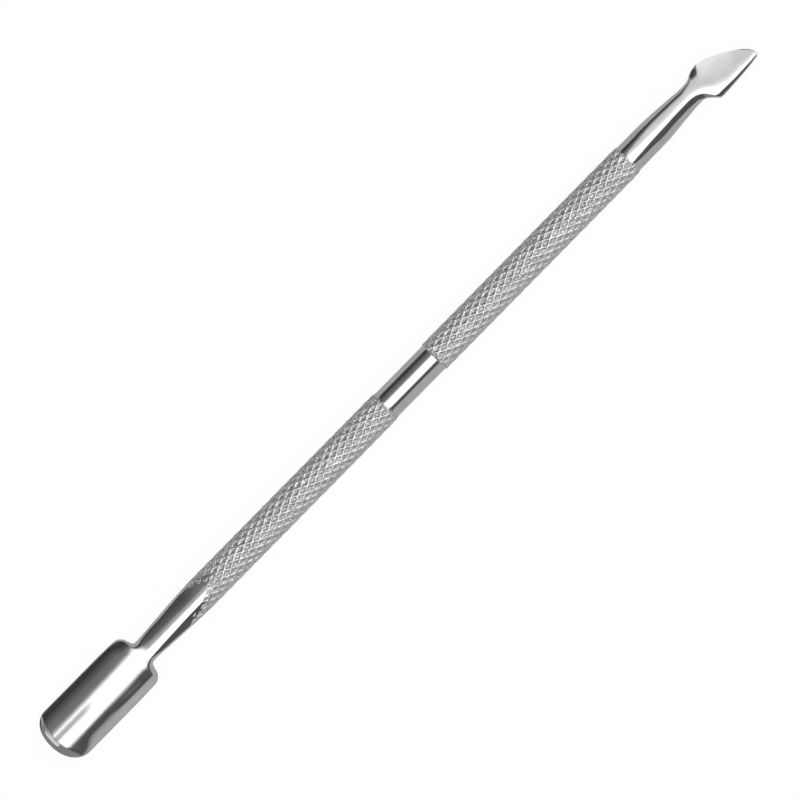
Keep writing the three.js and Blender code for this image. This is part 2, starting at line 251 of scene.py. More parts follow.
KNIFE_SPINE_SLOPE = [(-12, 20), (-4, 22), (0, 24), (3, 27)]            # degrees
KNIFE_HOLLOW, KNIFE_HOLLOW_Y = 0.0055, -0.5                           # a shallow dish across the face

KNIFE_UNDER_BEVEL_SLOPE = math.radians(24)
KNIFE_UNDER_BEVEL_SOFTNESS = 0.15
KNIFE_UNDER_BEVEL_SIDE = -1.2, -0.2                                   # across the edge's side
KNIFE_UNDER_BEVEL_FADE = 0.8, 2.2
KNIFE_EDGE_THICKNESS = 0.08


# ---- Curves and surfaces -------------------------------------------------------------------------

def smooth_through(points, x):
    """The value at x of a smooth curve through the points that never overshoots them."""
    at, value = np.array(points, float).T
    step = np.diff(at)
    slope = np.diff(value) / step
    tangent = np.concatenate([slope[:1], np.zeros(len(at) - 2), slope[-1:]])
    same_way = slope[:-1] * slope[1:] > 0
    before, after = np.where(same_way, slope[:-1], 1), np.where(same_way, slope[1:], 1)
    near, far = 2 * step[1:] + step[:-1], step[1:] + 2 * step[:-1]
    tangent[1:-1] = np.where(same_way, (near + far) / (near / before + far / after), 0)

    x = np.clip(x, at[0], at[-1])
    i = np.clip(np.searchsorted(at, x, side="right") - 1, 0, len(step) - 1)
    t = (x - at[i]) / step[i]
    return (
        (2 * t**3 - 3 * t**2 + 1) * value[i]
        + (t**3 - 2 * t**2 + t) * step[i] * tangent[i]
        + (3 * t**2 - 2 * t**3) * value[i + 1]
        + (t**3 - t**2) * step[i] * tangent[i + 1]
    )


def soft_min(a, b, softness):
    return (a + b - np.sqrt((a - b) ** 2 + softness**2)) / 2


def past(distance, softness):
    """0 well short of a line and the distance well past it, with a rounded corner at the line."""
    return (distance + np.sqrt(distance**2 + softness**2)) / 2


def soft_step(x, start, end):
    """0 before start, 1 after end, and a smooth rise between."""
    t = np.clip((x - start) / (end - start), 0, 1)
    return t * t * (3 - 2 * t)


def arch(y, radius):
    """How far a circle of this radius has fallen at y from its top."""
    return radius - np.sqrt(radius**2 - y**2)


def distance_inside(x, y, xs, low_y, high_y):
    """How far each grid point is inside the plan outline, which is open at the handle's end."""
    outline = np.concatenate([np.stack([xs, low_y], 1)[::-1], np.stack([xs, high_y], 1)])
    start, run = outline[:-1], np.diff(outline, axis=0)
    length2 = np.maximum((run**2).sum(1), 1e-12)
    nearest = np.empty_like(x)
    for ring in range(len(x)):
        point = np.stack([x[ring], y[ring]], 1)[:, None] - start
        along = np.clip((point * run).sum(2) / length2, 0, 1)
        nearest[ring] = np.sqrt(((point - along[..., None] * run) ** 2).sum(2).min(1))
    return nearest


def end_rings(xs, outline, edge_round, squareness, blade_share, oval, ceiling, floor):
    """Rings round one end of the tool, from its tip to the handle.

    The plan outline gives each ring its width. In the blade a ring lies between the ceiling and the floor;
    in the neck it is a rolled oval, shaved by the ceiling. Both close round the outline with the edge
    round."""
    low_y, high_y = outline(xs)
    turn = np.linspace(0, 2 * math.pi, END_COLUMNS, endpoint=False)
    x = np.repeat(xs[:, None], END_COLUMNS, 1)
    y = (low_y + high_y)[:, None] / 2 + (high_y - low_y)[:, None] / 2 * np.cos(turn)
    inside = distance_inside(x, y, xs, low_y, high_y)
    short = 1 - np.clip(inside / edge_round(x, y), 0, 1)
    power = squareness(x)
    fullness = (1 - short**power) ** (1 / power)

    top, bottom = ceiling(x, y, inside), floor(x, y, inside)
    blade = blade_share(x)
    oval_middle, oval_half = oval(x, y)
    middle = blade * (top + bottom) / 2 + (1 - blade) * oval_middle
    half = (blade * (top - bottom) / 2 + (1 - blade) * oval_half) * fullness
    above = soft_min(half, np.maximum(top - middle, 0), SHAVE_SOFTNESS * fullness)
    below = soft_min(half, np.maximum(middle - bottom, 0), SHAVE_SOFTNESS * fullness)
    z = middle + np.where(np.sin(turn) >= 0, above, -below)
    return np.stack([x, y, z], 2)


def stations(start, *legs):
    """Positions along X, from the start through legs of (end, step)."""
    parts = []
    for end, step in legs:
        parts.append(np.linspace(start, end, max(2, round(abs(end - start) / step) + 1))[:-1])
        start = end
    return np.concatenate(parts + [[start]])


# ---- Scoop end -----------------------------------------------------------------------------------

def scoop_outline(xs):
    to_tip = np.clip(1 - (xs - SCOOP_TIP_X) / SCOOP_TIP_DEPTH, 0, 1)
    narrowing = (1 - to_tip**SCOOP_TIP_SQUARENESS) ** (1 / SCOOP_TIP_SQUARENESS)
    half = smooth_through(SCOOP_HALF_WIDTHS, xs - SCOOP_ROOT_X) * narrowing
    in_neck = soft_step(xs - SCOOP_ROOT_X, *SCOOP_SHIFT_FADE)
    centre = (SCOOP_SIDE_SHIFT + SCOOP_TIP_LEAN * to_tip) * (1 - in_neck)
    return centre - half, centre + half


def scoop_edge_round(x, y):
    """The edge's rounding in the blade. In the neck it takes in the whole half width."""
    from_root = x - SCOOP_ROOT_X
    return np.where(
        from_root > SCOOP_EDGE_ROUND[-1][0],
        smooth_through(SCOOP_HALF_WIDTHS, from_root),
        smooth_through(SCOOP_EDGE_ROUND, from_root),
    )


def scoop_squareness(x):
    leaving_blade = soft_step(x - SCOOP_ROOT_X, 0, NECK_SQUARENESS_RISE)
    entering_grip = soft_step(x - SCOOP_GRIP_START_X, -NECK_SQUARENESS_FALL, 0)
    return OVAL_POWER + NECK_SQUARENESS * leaving_blade * (1 - entering_grip)


def scoop_oval(x, y):
    from_root = x - SCOOP_ROOT_X
    roll = np.tan(np.radians(smooth_through(SCOOP_NECK_ROLL_DEGREES, from_root)))
    return roll * y, smooth_through(SCOOP_NECK_HALF_THICKNESS, from_root)


def neck_flats(x, y):
    """How much the flats ground along the scoop's neck take off its top."""
    from_root = x - SCOOP_ROOT_X
    kept = 1 - NECK_FLATS_LOSS * soft_step(x - SCOOP_GRIP_START_X, *NECK_FLATS_LOSS_FADE)
    in_neck = soft_step(from_root, *NECK_EASY_FADE)
    easy = NECK_EASY_SLOPE * in_neck
    steep = NECK_STEEP_SLOPE * soft_step(from_root, *NECK_STEEP_FADE) * kept
    low = NECK_LOW_SLOPE * soft_step(from_root, *NECK_LOW_FADE)
    removed = easy * past(y - smooth_through(NECK_EASY_START, from_root), FLAT_SOFTNESS)
    removed += steep * past(y - smooth_through(NECK_STEEP_START, from_root), FLAT_SOFTNESS)
    removed += NECK_OUTER_SLOPE * in_neck * kept * past(y - NECK_OUTER_START, NECK_OUTER_SOFTNESS)
    removed += low * past(smooth_through(NECK_LOW_START, from_root) - y, FLAT_SOFTNESS)
    return removed


def unevenness(x, y):
    """The scoop's lifted low corner, the kink before its low rim, and the ripple along its top."""
    from_root = x - SCOOP_ROOT_X
    at_corner = 1 - soft_step(from_root, *CORNER_FADE)
    lifted = sum(slope * past(start - y, CORNER_SOFTNESS) for start, slope in CORNER_LIFTS)
    at_rim = soft_step(from_root, *RIM_FADE_IN) * (1 - soft_step(from_root, *RIM_FADE_OUT))
    kink = sum(sign * past(start - y, softness) for start, softness, sign in RIM_KINK_STARTS)
    ripple = (1 - soft_step(from_root, *RIPPLE_FADE)) * soft_step(y, *RIPPLE_EDGES)
    return at_corner * lifted + RIM_KINK * at_rim * kink - RIPPLE_DEPTH * ripple


def bevels(x, y, inside):
    """How much the bevels of the scoop's tip and shoulders take off near its outline."""
    from_root = x - SCOOP_ROOT_X
    at_tip = 1 - soft_step(x - SCOOP_TIP_X, *TIP_BEVEL_FADE)
    removed = 0
    so_far = 0
    for width, slope in TIP_BEVELS:
        removed += at_tip * (math.tan(slope) - so_far) * past(width - inside, TIP_BEVEL_SOFTNESS)
        so_far = math.tan(slope)
    width = np.where(
        y > 0,
        smooth_through(SHOULDER_BEVELS["high"], from_root),
        smooth_through(SHOULDER_BEVELS["low"], from_root),
    )
    return removed + math.tan(SHOULDER_BEVEL_SLOPE) * np.maximum(width - inside, 0)


def scoop_ceiling(x, y, inside):
    from_root = x - SCOOP_ROOT_X
    in_blade = 1 - soft_step(from_root, *SCOOP_CROWN_FADE)
    crown = arch(y - SCOOP_SIDE_SHIFT, SCOOP_CROWN_RADIUS) * in_blade
    twist = np.tan(np.radians(smooth_through(SCOOP_TWIST_DEGREES, from_root))) * (y - SCOOP_SIDE_SHIFT)
    whole = smooth_through(SCOOP_CREST, from_root) - crown + twist
    return whole + unevenness(x, y) - neck_flats(x, y) - bevels(x, y, inside)


def scoop_floor(x, y, inside):
    from_root = x - SCOOP_ROOT_X
    hollow = arch(y - SCOOP_SIDE_SHIFT, SCOOP_HOLLOW_RADIUS)
    return smooth_through(SCOOP_CREST, from_root) - smooth_through(SCOOP_THICKNESS, from_root) - hollow


def scoop_end():
    """Rings from the scoop's tip, through its neck and on under the start of the knurl."""
    tip_turn = np.linspace(SCOOP_TIP_FIRST_TURN, math.pi / 2, SCOOP_TIP_RINGS + 1)[:-1]
    tip = SCOOP_TIP_DEPTH * (1 - np.cos(tip_turn)) + SCOOP_TIP_X
    rest = stations(
        SCOOP_TIP_X + SCOOP_TIP_DEPTH,
        (SCOOP_ROOT_X - 2.8, 0.16),
        (SCOOP_ROOT_X - 1.2, 0.05),
        (SCOOP_ROOT_X - SEAM_STEP, 0.024),
        (SCOOP_ROOT_X + SEAM_STEP, SEAM_STEP),
        (SCOOP_ROOT_X + 0.6, 0.04),
        (SCOOP_GRIP_START_X - 4, 0.14),
        (SCOOP_GRIP_START_X - SEAM_STEP, 0.07),
        (SCOOP_GRIP_START_X, SEAM_STEP),
        (SCOOP_GRIP_START_X + SCOOP_UNDER_GRIP, 0.07),
    )
    return end_rings(
        np.concatenate([tip, rest]),
        scoop_outline,
        scoop_edge_round,
        scoop_squareness,
        lambda x: 1 - soft_step(x - SCOOP_ROOT_X, *SCOOP_BLADE_FADE),
        scoop_oval,
        scoop_ceiling,
        scoop_floor,
    )


# ---- Knife end -----------------------------------------------------------------------------------

def knife_outline(xs):
    from_root = xs - KNIFE_ROOT_X
    closing = np.clip((KNIFE_TIP_X - xs) / KNIFE_TIP_ROUND, 0, 1)
    share = np.sqrt(1 - (1 - closing) ** 2)
    high = KNIFE_TIP_Y + (smooth_through(KNIFE_EDGE_SIDE, from_root) - KNIFE_TIP_Y) * share
    low = KNIFE_TIP_Y + (smooth_through(KNIFE_SPINE_SIDE, from_root) - KNIFE_TIP_Y) * share
    return low, high


def knife_edge_round(x, y):
    from_root = x - KNIFE_ROOT_X
    neck_width = smooth_through(KNIFE_EDGE_SIDE, from_root) - smooth_through(KNIFE_SPINE_SIDE, from_root)
    towards_edge = soft_step(y, *KNIFE_ROUND_SIDES)
    blade_round = towards_edge * smooth_through(KNIFE_EDGE_ROUND, from_root)
    blade_round += (1 - towards_edge) * smooth_through(KNIFE_SPINE_ROUND, from_root)
    in_neck = 1 - soft_step(from_root, *KNIFE_NECK_ROUND_FADE)
    return in_neck * neck_width / 2 + (1 - in_neck) * blade_round


def knife_oval(x, y):
    from_root = x - KNIFE_ROOT_X
    roll = np.tan(np.radians(smooth_through(KNIFE_NECK_ROLL_DEGREES, from_root)))
    half = smooth_through(KNIFE_NECK_HALF_THICKNESS, from_root)
    extra = KNIFE_NECK_LOW_EXTRA * soft_step(-y, *KNIFE_NECK_LOW_SIDE)
    return -roll * past(-y, KNIFE_NECK_ROLL_SOFTNESS), half + extra


def knife_ceiling(x, y, inside):
    from_root = x - KNIFE_ROOT_X
    in_blade = soft_step(from_root, *KNIFE_BLADE_FADE)
    face_start = smooth_through(KNIFE_FACE_START, from_root) - KNIFE_FACE_SHIFT * in_blade
    face_softness = np.interp(in_blade, [0, 1], KNIFE_FACE_SOFTNESS)
    face = math.tan(KNIFE_FACE_SLOPE)
    shoulder_start = smooth_through(KNIFE_SHOULDER_START, from_root)
    shoulder = (math.tan(KNIFE_SHOULDER_SLOPE) - face) * soft_step(from_root, *KNIFE_SHOULDER_FADE)
    spine_start = smooth_through(KNIFE_SPINE_START, from_root)
    spine = np.tan(np.radians(smooth_through(KNIFE_SPINE_SLOPE, from_root)))
    z = smooth_through(KNIFE_CREST, from_root) - face * past(y - face_start, face_softness)
    z -= shoulder * past(y - shoulder_start, FLAT_SOFTNESS) + spine * past(spine_start - y, FLAT_SOFTNESS)
    return z + in_blade * KNIFE_HOLLOW * (y - KNIFE_HOLLOW_Y) ** 2


def knife_floor(x, y, inside):
    """Flat, with a bevel up to a thin cutting edge."""
    from_root = x - KNIFE_ROOT_X
    flat = smooth_through(KNIFE_FLOOR, from_root)
    edge_side = soft_step(y, *KNIFE_UNDER_BEVEL_SIDE) * soft_step(from_root, *KNIFE_UNDER_BEVEL_FADE)
    bevel = knife_ceiling(x, y, inside) - KNIFE_EDGE_THICKNESS
    bevel -= math.tan(KNIFE_UNDER_BEVEL_SLOPE) * inside
    return flat + edge_side * past(bevel - flat, KNIFE_UNDER_BEVEL_SOFTNESS)


def knife_end():
    """Rings from under the end of the knurl to the knife's tip."""
    tip_turn = np.linspace(KNIFE_TIP_FIRST_TURN, math.pi / 2, KNIFE_TIP_RINGS)
    tip = KNIFE_TIP_X - KNIFE_TIP_ROUND * (1 - np.cos(tip_turn))
    along = stations(
        KNIFE_GRIP_END_X - KNIFE_UNDER_GRIP,
        (KNIFE_GRIP_END_X, 0.05),
        (KNIFE_GRIP_END_X + SEAM_STEP, SEAM_STEP),
        (KNIFE_GRIP_END_X + 1, 0.05),
        (KNIFE_ROOT_X - 1.4, 0.14),
        (KNIFE_ROOT_X - SEAM_STEP, 0.06),
        (KNIFE_ROOT_X + SEAM_STEP, SEAM_STEP),
        (KNIFE_ROOT_X + 3, 0.04),
        (KNIFE_TIP_X - KNIFE_TIP_ROUND, 0.08),
    )
    rings = end_rings(
        np.concatenate([along, tip[::-1][1:]])[::-1],
        knife_outline,
        knife_edge_round,
        lambda x: OVAL_POWER,
        lambda x: soft_step(x - KNIFE_ROOT_X, *KNIFE_BLADE_FADE),
        knife_oval,
        knife_ceiling,
        knife_floor,
    )
    past_grip = rings[..., :1] - KNIFE_GRIP_END_X
    rings[..., 1:] *= 1 + NECK_FLARE * (1 - soft_step(past_grip, -NECK_FLARE_LENGTH, NECK_FLARE_LENGTH))
    return rings[::-1]


# ---- Knurled surface -----------------------------------------------------------------------------

def pit_depth(turn, x, start):
    """How deep the knurl is: two crossing sets of rounded ridges with diamond pits between them."""
    around = KNURL_CELLS_ROUND * turn / (2 * math.pi)
    along = (x - start) / KNURL_PITCH
    forward_sway = RIDGE_SWAY * np.sin(2 * turn + 0.9 * x)
    backward_sway = RIDGE_SWAY * np.sin(3 * turn - 1.3 * x + 2)

    def from_ridges(phase):
        return soft_step(np.abs(phase - np.round(phase)), *PIT_EDGES)

    forward = from_ridges(around + along + forward_sway)
    backward = from_ridges(around - along + backward_sway)
    share = np.clip(soft_min(forward, backward, PIT_SOFTNESS), 0, 1)
    slow_wear = SLOW_WEAR * np.sin(turn * 3 + x * 0.31) * np.sin(x * 0.77 + 1.3)
    quick_wear = QUICK_WEAR * np.sin(turn * 5 - x * 1.9)
    return KNURL_DEPTH * share * (1 + slow_wear + quick_wear)


def ground_radius(rings, turn, x):
    """The radius of ground rings at each turn and X of a grid whose rows have one X each."""
    ring_x = rings[:, 0, 0]
    turns, radii = np.arctan2(rings[..., 2], rings[..., 1]), np.hypot(rings[..., 1], rings[..., 2])
    result = np.empty_like(turn)
    for row, place in enumerate(x[:, 0]):
        after = int(np.clip(np.searchsorted(ring_x, place), 1, len(ring_x) - 1))
        share = np.clip((place - ring_x[after - 1]) / (ring_x[after] - ring_x[after - 1]), 0, 1)
        near, far = (
            np.interp(turn[row], turns[ring], radii[ring], period=2 * math.pi)
            for ring in (after - 1, after)
        )
        result[row] = near + (far - near) * share
    return result


def sink_pits(rings, knurl_start, presence):
    """Sinks the last of the knurl's pits into a neck. Also gives the share of knurl at each point."""
    x, y, z = np.moveaxis(rings, 2, 0)
    radius, present = np.hypot(y, z), presence(x)
    pits = CREST_RADIUS - pit_depth(np.arctan2(z, y), x, knurl_start) * present
    scale = np.where(present > 0, np.minimum(1, pits / radius), 1)
    knurled = np.where(present > 0, soft_step(radius - pits, *KNURLED_FROM), 0)
    return np.stack([x, y * scale, z * scale], 2), knurled


# ---- Meshes --------------------------------------------------------------------------------------

def add_piece(node, points, faces, caps, knurled, material):
    """A closed mesh that stands for a CAD node, smooth all over except for its flat end caps."""
    mesh = bpy.data.meshes.new(node + "_surface")
    mesh.from_pydata((points.reshape(-1, 3) * MM).tolist(), [], faces + caps)
    smooth = np.ones(len(mesh.polygons), bool)
    smooth[len(faces):] = False
    mesh.polygons.foreach_set("use_smooth", smooth)
    mesh.attributes.new("knurled", "FLOAT", "POINT").data.foreach_set("value", knurled.ravel())
    mesh.materials.append(material)
    mesh.update()
    piece = bpy.data.objects.new(node + "_finished", mesh)
    bpy.context.scene.collection.objects.link(piece)
    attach(piece, "root")
    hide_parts(node)
    return piece


def join_touching_points(mesh):
    work = bmesh.new()
    work.from_mesh(mesh)
    bmesh.ops.remove_doubles(work, verts=work.verts, dist=TOUCHING)
    work.to_mesh(mesh)
    work.free()


def add_ringed_piece(node, rings, knurled, material, slot, tip=None):
    """Rings of equal count, in order along +X, joined by four-sided faces.

    A flat cap closes each end, but not a blade's tip, which is the first ring (0) or the last (-1). The
    tip's ring is itself a line, so its upper and lower points are joined instead."""
    count, columns = rings.shape[:2]
    index = np.arange(count * columns).reshape(count, columns)
    beside = np.roll(index, -1, axis=1)
    faces = np.stack([index[:-1], beside[:-1], beside[1:], index[1:]], 2).reshape(-1, 4).tolist()
    caps = {0: index[0][::-1].tolist(), -1: index[-1].tolist()}
    caps.pop(tip, None)
    piece = add_piece(node, rings, faces, list(caps.values()), knurled, material)
    if tip is not None:
        join_touching_points(piece.data)


def add_grip(node, start, end, other_radius, material):
    """A knurled sleeve, cut down wherever the other radius is the lower one.

    Each ring is turned half a step from the one before it, so the faces' edges slant with the ridges."""
    columns = KNURL_CELLS_ROUND * STEPS_PER_CELL
    count = 2 * round((end - start) * STEPS_PER_CELL / KNURL_PITCH)
    ring, column = np.meshgrid(np.arange(count + 1), np.arange(columns), indexing="ij")
    turn = 2 * math.pi * (column + ring % 2 / 2) / columns
    x = start + (end - start) * ring / count
    x[1], x[-2] = start + SEAM_STEP, end - SEAM_STEP
    knurl = CREST_RADIUS - pit_depth(turn, x, start)
    other = other_radius(turn, x)
    radius = np.minimum(knurl, other)
    points = np.stack([x, radius * np.cos(turn), radius * np.sin(turn)], 2)

    here = ring * columns + column
    beside = np.roll(here, -1, axis=1)
    between = np.where(ring % 2 == 0, here, beside)
    before, after = between[1:-1] - columns, between[1:-1] + columns
    diamonds = np.stack([here[1:-1], before, beside[1:-1], after], 2)
    first = np.stack([here[0], beside[0], between[0] + columns], 1)
    last = np.stack([beside[-1], here[-1], between[-1] - columns], 1)
    faces = diamonds.reshape(-1, 4).tolist() + first.tolist() + last.tolist()
    caps = [here[0][::-1].tolist(), here[-1].tolist()]
    knurled = soft_step(other - knurl, *KNURLED_FROM)
    return add_piece(node, points, faces, caps, knurled, material)


def band_rings():
    """A turned cylinder that flares a little to meet each knurl, which runs out over the flare."""
    start, end = BAND_LOW[0], BAND_HIGH[0]
    scoop_flare, knife_flare = BAND_FLARES
    xs = stations(
        start,
        (start + SEAM_STEP, SEAM_STEP),
        (start + scoop_flare, 0.04),
        (end - knife_flare, 0.2),
        (end - SEAM_STEP, 0.02),
        (end, SEAM_STEP),
    )
    x, turn = np.meshgrid(xs, np.linspace(0, 2 * math.pi, END_COLUMNS, endpoint=False), indexing="ij")
    near_scoop = np.clip(1 - (x - start) / scoop_flare, 0, 1)
    near_knife = np.clip(1 - (end - x) / knife_flare, 0, 1)
    ridges = 1 - pit_depth(turn, x, SCOOP_GRIP_START_X) / KNURL_DEPTH
    flare = BAND_LIP_ROUND_SHARE * near_scoop + (1 - BAND_LIP_ROUND_SHARE) * ridges
    radius = BAND_RADIUS + BAND_LIP * (near_scoop * flare + near_knife**2)
    return np.stack([x, radius * np.cos(turn), radius * np.sin(turn)], 2), near_scoop


# ---- Materials -----------------------------------------------------------------------------------

class Shader:
    """Short ways to add and join the nodes of a material or a world."""

    def __init__(self, owner):
        owner.use_nodes = True
        self.tree = owner.node_tree
        self.tree.nodes.clear()

    def add(self, kind, inputs=None, **settings):
        node = self.tree.nodes.new(kind)
        for name, value in settings.items():
            setattr(node, name, value)
        for name, value in (inputs or {}).items():
            if isinstance(value, bpy.types.NodeSocket):
                self.tree.links.new(value, node.inputs[name])
            else:
                node.inputs[name].default_value = value
        return node

    def math(self, operation, a, b=0.0, c=0.0):
        return self.add("ShaderNodeMath", {0: a, 1: b, 2: c}, operation=operation).outputs[0]

    def millimetres(self):
        """The point's place in the tool's frame, in millimetres."""
        place = self.add("ShaderNodeTexCoord").outputs["Object"]
        scaled = self.add("ShaderNodeVectorMath", {0: place, 1: (1000, 1000, 1000)}, operation="MULTIPLY")
        return scaled.outputs[0]

    def noise(self, place, scale, stretch=(1, 1, 1), detail=3.0):
        """Noise round 0.5, squeezed along each axis by its stretch."""
        squeezed = self.add("ShaderNodeMapping", {"Vector": place, "Scale": stretch}).outputs[0]
        inputs = {"Vector": squeezed, "Scale": scale, "Detail": detail}
        return self.add("ShaderNodeTexNoise", inputs).outputs["Fac"]

    def spread(self, value, low, high, to_low, to_high):
        inputs = {"Value": value, "From Min": low, "From Max": high, "To Min": to_low, "To Max": to_high}
        return self.add("ShaderNodeMapRange", inputs).outputs["Result"]

    def blend(self, share, first, second):
        """A colour between the first and the second."""
        mix = self.add("ShaderNodeMix", data_type="RGBA")
        sockets = mix.inputs["Factor"], mix.inputs["A"], mix.inputs["B"]
        for socket, value in zip(sockets, (share, first, second)):
            if isinstance(value, bpy.types.NodeSocket):
                self.tree.links.new(value, socket)
            else:
                socket.default_value = value
        return mix.outputs["Result"]

    def between(self, share, first, second):
        """A number between the first and the second."""
        return self.math("MULTIPLY_ADD", share, self.math("SUBTRACT", second, first), first)


def grey(value):
    """Steel's grey, a trace bluer than neutral."""
    return value, value, value * 1.01, 1


POLISHED_GREYS = 0.61, 0.69
SPECK_GREY, SPECK_SHARE = 0.9, 0.35
# Painted shade: the knurl's pits are coloured darker than its ridges, darkest at the pit bottoms.
PAINTED_PIT_SHADE_GREY, RIDGE_GREY = 0.6, 0.88
SMUDGE_GREY, SMUDGE_SHARE = 0.53, 0.35
PIT_ROUGHNESS, RIDGE_ROUGHNESS, SMUDGE_ROUGHNESS = 0.34, 0.2, 0.06
GRAIN_SHARE = 0.3                 # of the fine relief, beside the streaks
KNURLED_RELIEF = 0.1              # millimetres


def worked_steel(name, streak, roughness, relief):
    """Stainless steel, polished where it was ground or turned and duller where it was knurled.

    The streak is the squeeze, along each axis, of the fine lines left by grinding or turning, roughness is
    the polished range, and relief is the lines' height in millimetres. The knurl's pits are painted darker
    than its ridges, as painted shade that deepens towards the pit bottoms."""
    material = bpy.data.materials.new(name)
    shader = Shader(material)
    place = shader.millimetres()
    knurled = shader.add("ShaderNodeAttribute", attribute_name="knurled").outputs["Fac"]
    streaks = shader.noise(place, 3.0, streak)
    patches = shader.noise(place, 0.45, detail=2.0)
    grain = shader.noise(place, 16.0, detail=2.0)
    specks = shader.spread(shader.noise(place, 5.0, detail=1.0), 0.68, 0.74, 0, SPECK_SHARE)
    low_grey, high_grey = (grey(value) for value in POLISHED_GREYS)

    polished = shader.blend(shader.spread(patches, 0.3, 0.7, 0, 1), low_grey, high_grey)
    polished = shader.blend(specks, polished, grey(SPECK_GREY))
    polished_rough = shader.spread(streaks, 0.3, 0.7, *roughness)
    fine = shader.math("MULTIPLY_ADD", grain, GRAIN_SHARE, streaks)

    axes = shader.add("ShaderNodeSeparateXYZ", {0: place}).outputs
    squares = [shader.math("MULTIPLY", axes[name], axes[name]) for name in ("Y", "Z")]
    radius = shader.math("SQRT", shader.math("ADD", *squares))
    crest = shader.spread(radius, CREST_RADIUS - KNURL_DEPTH, CREST_RADIUS, 0, 1)
    smudges = shader.noise(place, 1.4, detail=2.0)
    coarse = shader.noise(place, 5.0)
    # Painted shade in the knurl: the colour darkens from the crests towards each pit's bottom.
    rolled = shader.blend(crest, grey(PAINTED_PIT_SHADE_GREY), grey(RIDGE_GREY))
    smudged = shader.spread(smudges, 0.35, 0.65, 0, SMUDGE_SHARE)
    rolled = shader.blend(smudged, rolled, grey(SMUDGE_GREY))
    smudge_rough = shader.spread(smudges, 0.3, 0.7, 0, SMUDGE_ROUGHNESS)
    crest_rough = shader.spread(crest, 0, 1, PIT_ROUGHNESS, RIDGE_ROUGHNESS)
    rolled_rough = shader.math("ADD", crest_rough, smudge_rough)

    colour = shader.blend(knurled, polished, rolled)
    rough = shader.between(knurled, polished_rough, rolled_rough)
    polished_height = shader.math("MULTIPLY", fine, relief)
    knurled_height = shader.math("MULTIPLY", coarse, KNURLED_RELIEF)
    height = shader.between(knurled, polished_height, knurled_height)
    bump = shader.add("ShaderNodeBump", {"Height": height, "Strength": 1.0, "Distance": MM})
    surface = shader.add("ShaderNodeBsdfPrincipled", {
        "Base Color": colour, "Metallic": 1.0, "Roughness": rough, "Normal": bump.outputs[0],
    })
    shader.add("ShaderNodeOutputMaterial", {"Surface": surface.outputs[0]})
    return material


# ---- The tool ------------------------------------------------------------------------------------

def ring_at(rings, x):
    return int(np.argmin(np.abs(rings[:, 0, 0] - x)))


def build_tool():
    ground = worked_steel("ground_steel", (0.12, 3, 3), (0.09, 0.16), 0.0025)
    knurled = worked_steel("knurled_steel", (0.12, 3, 3), (0.09, 0.16), 0.0025)
    turned = worked_steel("turned_steel", (2.5, 0.2, 0.2), (0.08, 0.13), 0.0012)

    scoop, knife = scoop_end(), knife_end()

    def scoop_side_limit(turn, x):
        near_band = BAND_RADIUS + BAND_LIP + RUN_OUT_SLOPE * (SCOOP_GRIP_END_X - x)
        near_neck = x[:, 0] < scoop[-1, 0, 0]
        near_band[near_neck] = ground_radius(scoop, turn[near_neck], x[near_neck])
        return near_band

    def knife_side_limit(turn, x):
        near_band = BAND_RADIUS + BAND_LIP + RUN_OUT_SLOPE * (x - KNIFE_GRIP_START_X)
        near_neck = x[:, 0] > knife[0, 0, 0]
        near_band[near_neck] = ground_radius(knife, turn[near_neck], x[near_neck])
        return near_band

    add_grip("scoop_side_grip", SCOOP_GRIP_START_X, SCOOP_GRIP_END_X, scoop_side_limit, knurled)
    add_grip("knife_side_grip", KNIFE_GRIP_START_X, KNIFE_GRIP_END_X, knife_side_limit, knurled)
    add_ringed_piece("centre_band", *band_rings(), turned, "turned_steel")

    scoop, scoop_knurl = sink_pits(
        scoop,
        SCOOP_GRIP_START_X,
        lambda x: soft_step(x - SCOOP_GRIP_START_X, *SCOOP_RUN_OUT),
    )
    knife, knife_knurl = sink_pits(
        knife,
        KNIFE_GRIP_START_X,
        lambda x: 1 - soft_step(x - KNIFE_GRIP_END_X, *KNIFE_RUN_OUT),
    )
    root, seam = ring_at(scoop, SCOOP_ROOT_X), ring_at(scoop, SCOOP_GRIP_START_X)
    add_ringed_piece("scoop_blade", scoop[:root + 1], scoop_knurl[:root + 1], ground, "ground_steel", 0)
    add_ringed_piece("scoop_neck", scoop[root:seam + 1], scoop_knurl[root:seam + 1], ground, "ground_steel")
    root, seam = ring_at(knife, KNIFE_ROOT_X), ring_at(knife, KNIFE_GRIP_END_X)
    add_ringed_piece("knife_neck", knife[seam:root + 1], knife_knurl[seam:root + 1], ground, "ground_steel")
    add_ringed_piece("knife_blade", knife[root:], knife_knurl[root:], ground, "ground_steel", -1)


# ---- Studio --------------------------------------------------------------------------------------

# What polished steel sees round the tool's long axis: degrees from straight up, towards +Y, and brightness.
STUDIO_RING = [
    (-180, 0.53), (-124, 0.52), (-95, 0.48), (-84, 0.54), (-72, 0.57), (-62, 0.47), (-57, 0.36),
    (-52.5, 0.1), (-38, 0.09), (-34.5, 0.35), (-31, 1.35), (-28, 1.7),
    (16, 1.7), (20, 1.05), (24, 0.5), (28, 0.27), (36, 0.23), (46, 0.21), (52, 0.15), (60, 0.12),
    (67, 0.07), (73, 0.045), (82, 0.065), (90, 0.14), (97, 0.28), (112, 0.45), (180, 0.53),
]
# The rest is by the X of the direction, towards the knife, from -1 to 1.
STRIPS_END = 0.66, 0.8            # where the strips fade out
BEYOND_THE_ENDS = 0.5             # brightness past there
STRIPS_END_BY_TIP = -0.35, -0.41  # the same on the scoop's side
BEYOND_THE_TIP = 0.3
SMALL_LIGHT = 1.2
SMALL_LIGHT_X, SMALL_LIGHT_LENGTH = -0.57, (0.1, 0.04)
SMALL_LIGHT_TURN, SMALL_LIGHT_WIDTH = 0.5, (0.62, 0.38)               # radians from straight up

BACKDROP_GLOW = 0.97
FLOOR_GREY = 0.72
FLOOR_GLOW = 1.05
FLOOR_GLOW_SHARE = 0.9
FLOOR_HALF_SIZE = 3.0             # metres


